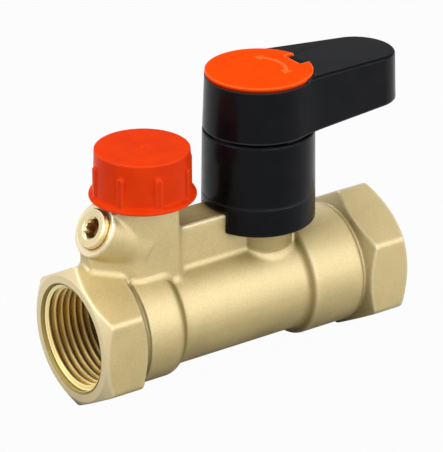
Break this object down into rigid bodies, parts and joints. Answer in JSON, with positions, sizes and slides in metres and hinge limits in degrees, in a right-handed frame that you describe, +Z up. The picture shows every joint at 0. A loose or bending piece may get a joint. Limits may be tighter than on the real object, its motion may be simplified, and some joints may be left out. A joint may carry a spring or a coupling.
{
  "type": "isolating ball valve with drain cock",
  "caption": "Forged brass inline ball valve with hexagon pipe ends, a lever handle on a plastic neck sleeve, and a side drain outlet closed by a ribbed cap and a socket spindle.",
  "frame": {"origin": "centre of the mouth of the drain side port", "axes": "+X along the pipe towards the handle side port, +Z up along the stem, +Y across"},
  "size_m": [0.1188, 0.041, 0.096],
  "materials": {
    "blasted_brass": "sand-blasted forging",
    "turned_brass": "turned",
    "plated_ball": "polished plating",
    "plated_steel": "zinc plated",
    "seat_plastic": "smooth",
    "seal_rubber": "matt",
    "black_plastic": "satin moulded",
    "orange_plastic": "satin moulded",
    "red_plastic": "satin moulded"
  },
  "bodies": {
    "body": {"valve_body": "blasted_brass", "seat_ring_front": "seat_plastic", "seat_ring_rear": "seat_plastic", "seat_retainer": "turned_brass", "retainer_o_ring": "seal_rubber", "stem_thrust_washer": "seat_plastic", "neck_sleeve": "black_plastic"},
    "handle": {"lever": "black_plastic", "cover_disc": "orange_plastic", "lever_screw": "plated_steel", "lever_washer": "plated_steel", "stem": "turned_brass", "stem_o_ring_lower": "seal_rubber", "stem_o_ring_upper": "seal_rubber", "ball": "plated_ball"},
    "cap_seal": {"cap_gasket": "seal_rubber"},
    "cap": {"drain_cap": "red_plastic"},
    "spindle_seal": {"spindle_seat_seal": "seal_rubber"},
    "spindle": {"drain_spindle": "turned_brass", "spindle_o_ring": "seal_rubber"}
  },
  "joints": [
    {"name": "handle_turn", "type": "hinge", "parent": "body", "child": "handle", "pos_m": [0.069, 0, 0], "axis": [0, 0, 1], "range_deg": [-90, 0]},
    {"name": "cap_lift", "type": "slide", "parent": "body", "child": "cap_seal", "axis": [0, 0, 1], "range_m": [0, 0.00907]},
    {"name": "cap_turn", "type": "hinge", "parent": "cap_seal", "child": "cap", "pos_m": [0.0265, 0, 0], "axis": [0, 0, 1], "range_deg": [0, 1800]},
    {"name": "spindle_travel", "type": "slide", "parent": "body", "child": "spindle_seal", "axis": [-0.866, 0, 0.5], "range_m": [0, 0.002]},
    {"name": "spindle_turn", "type": "hinge", "parent": "spindle_seal", "child": "spindle", "pos_m": [0.0091, 0, 0.0342], "axis": [-0.866, 0, 0.5], "range_deg": [0, 720]}
  ],
  "couplings": [
    {"joint": "cap_turn", "follows": "cap_lift", "rad_per_m": 3463.7},
    {"joint": "spindle_turn", "follows": "spindle_travel", "rad_per_m": 6283.2}
  ]
}
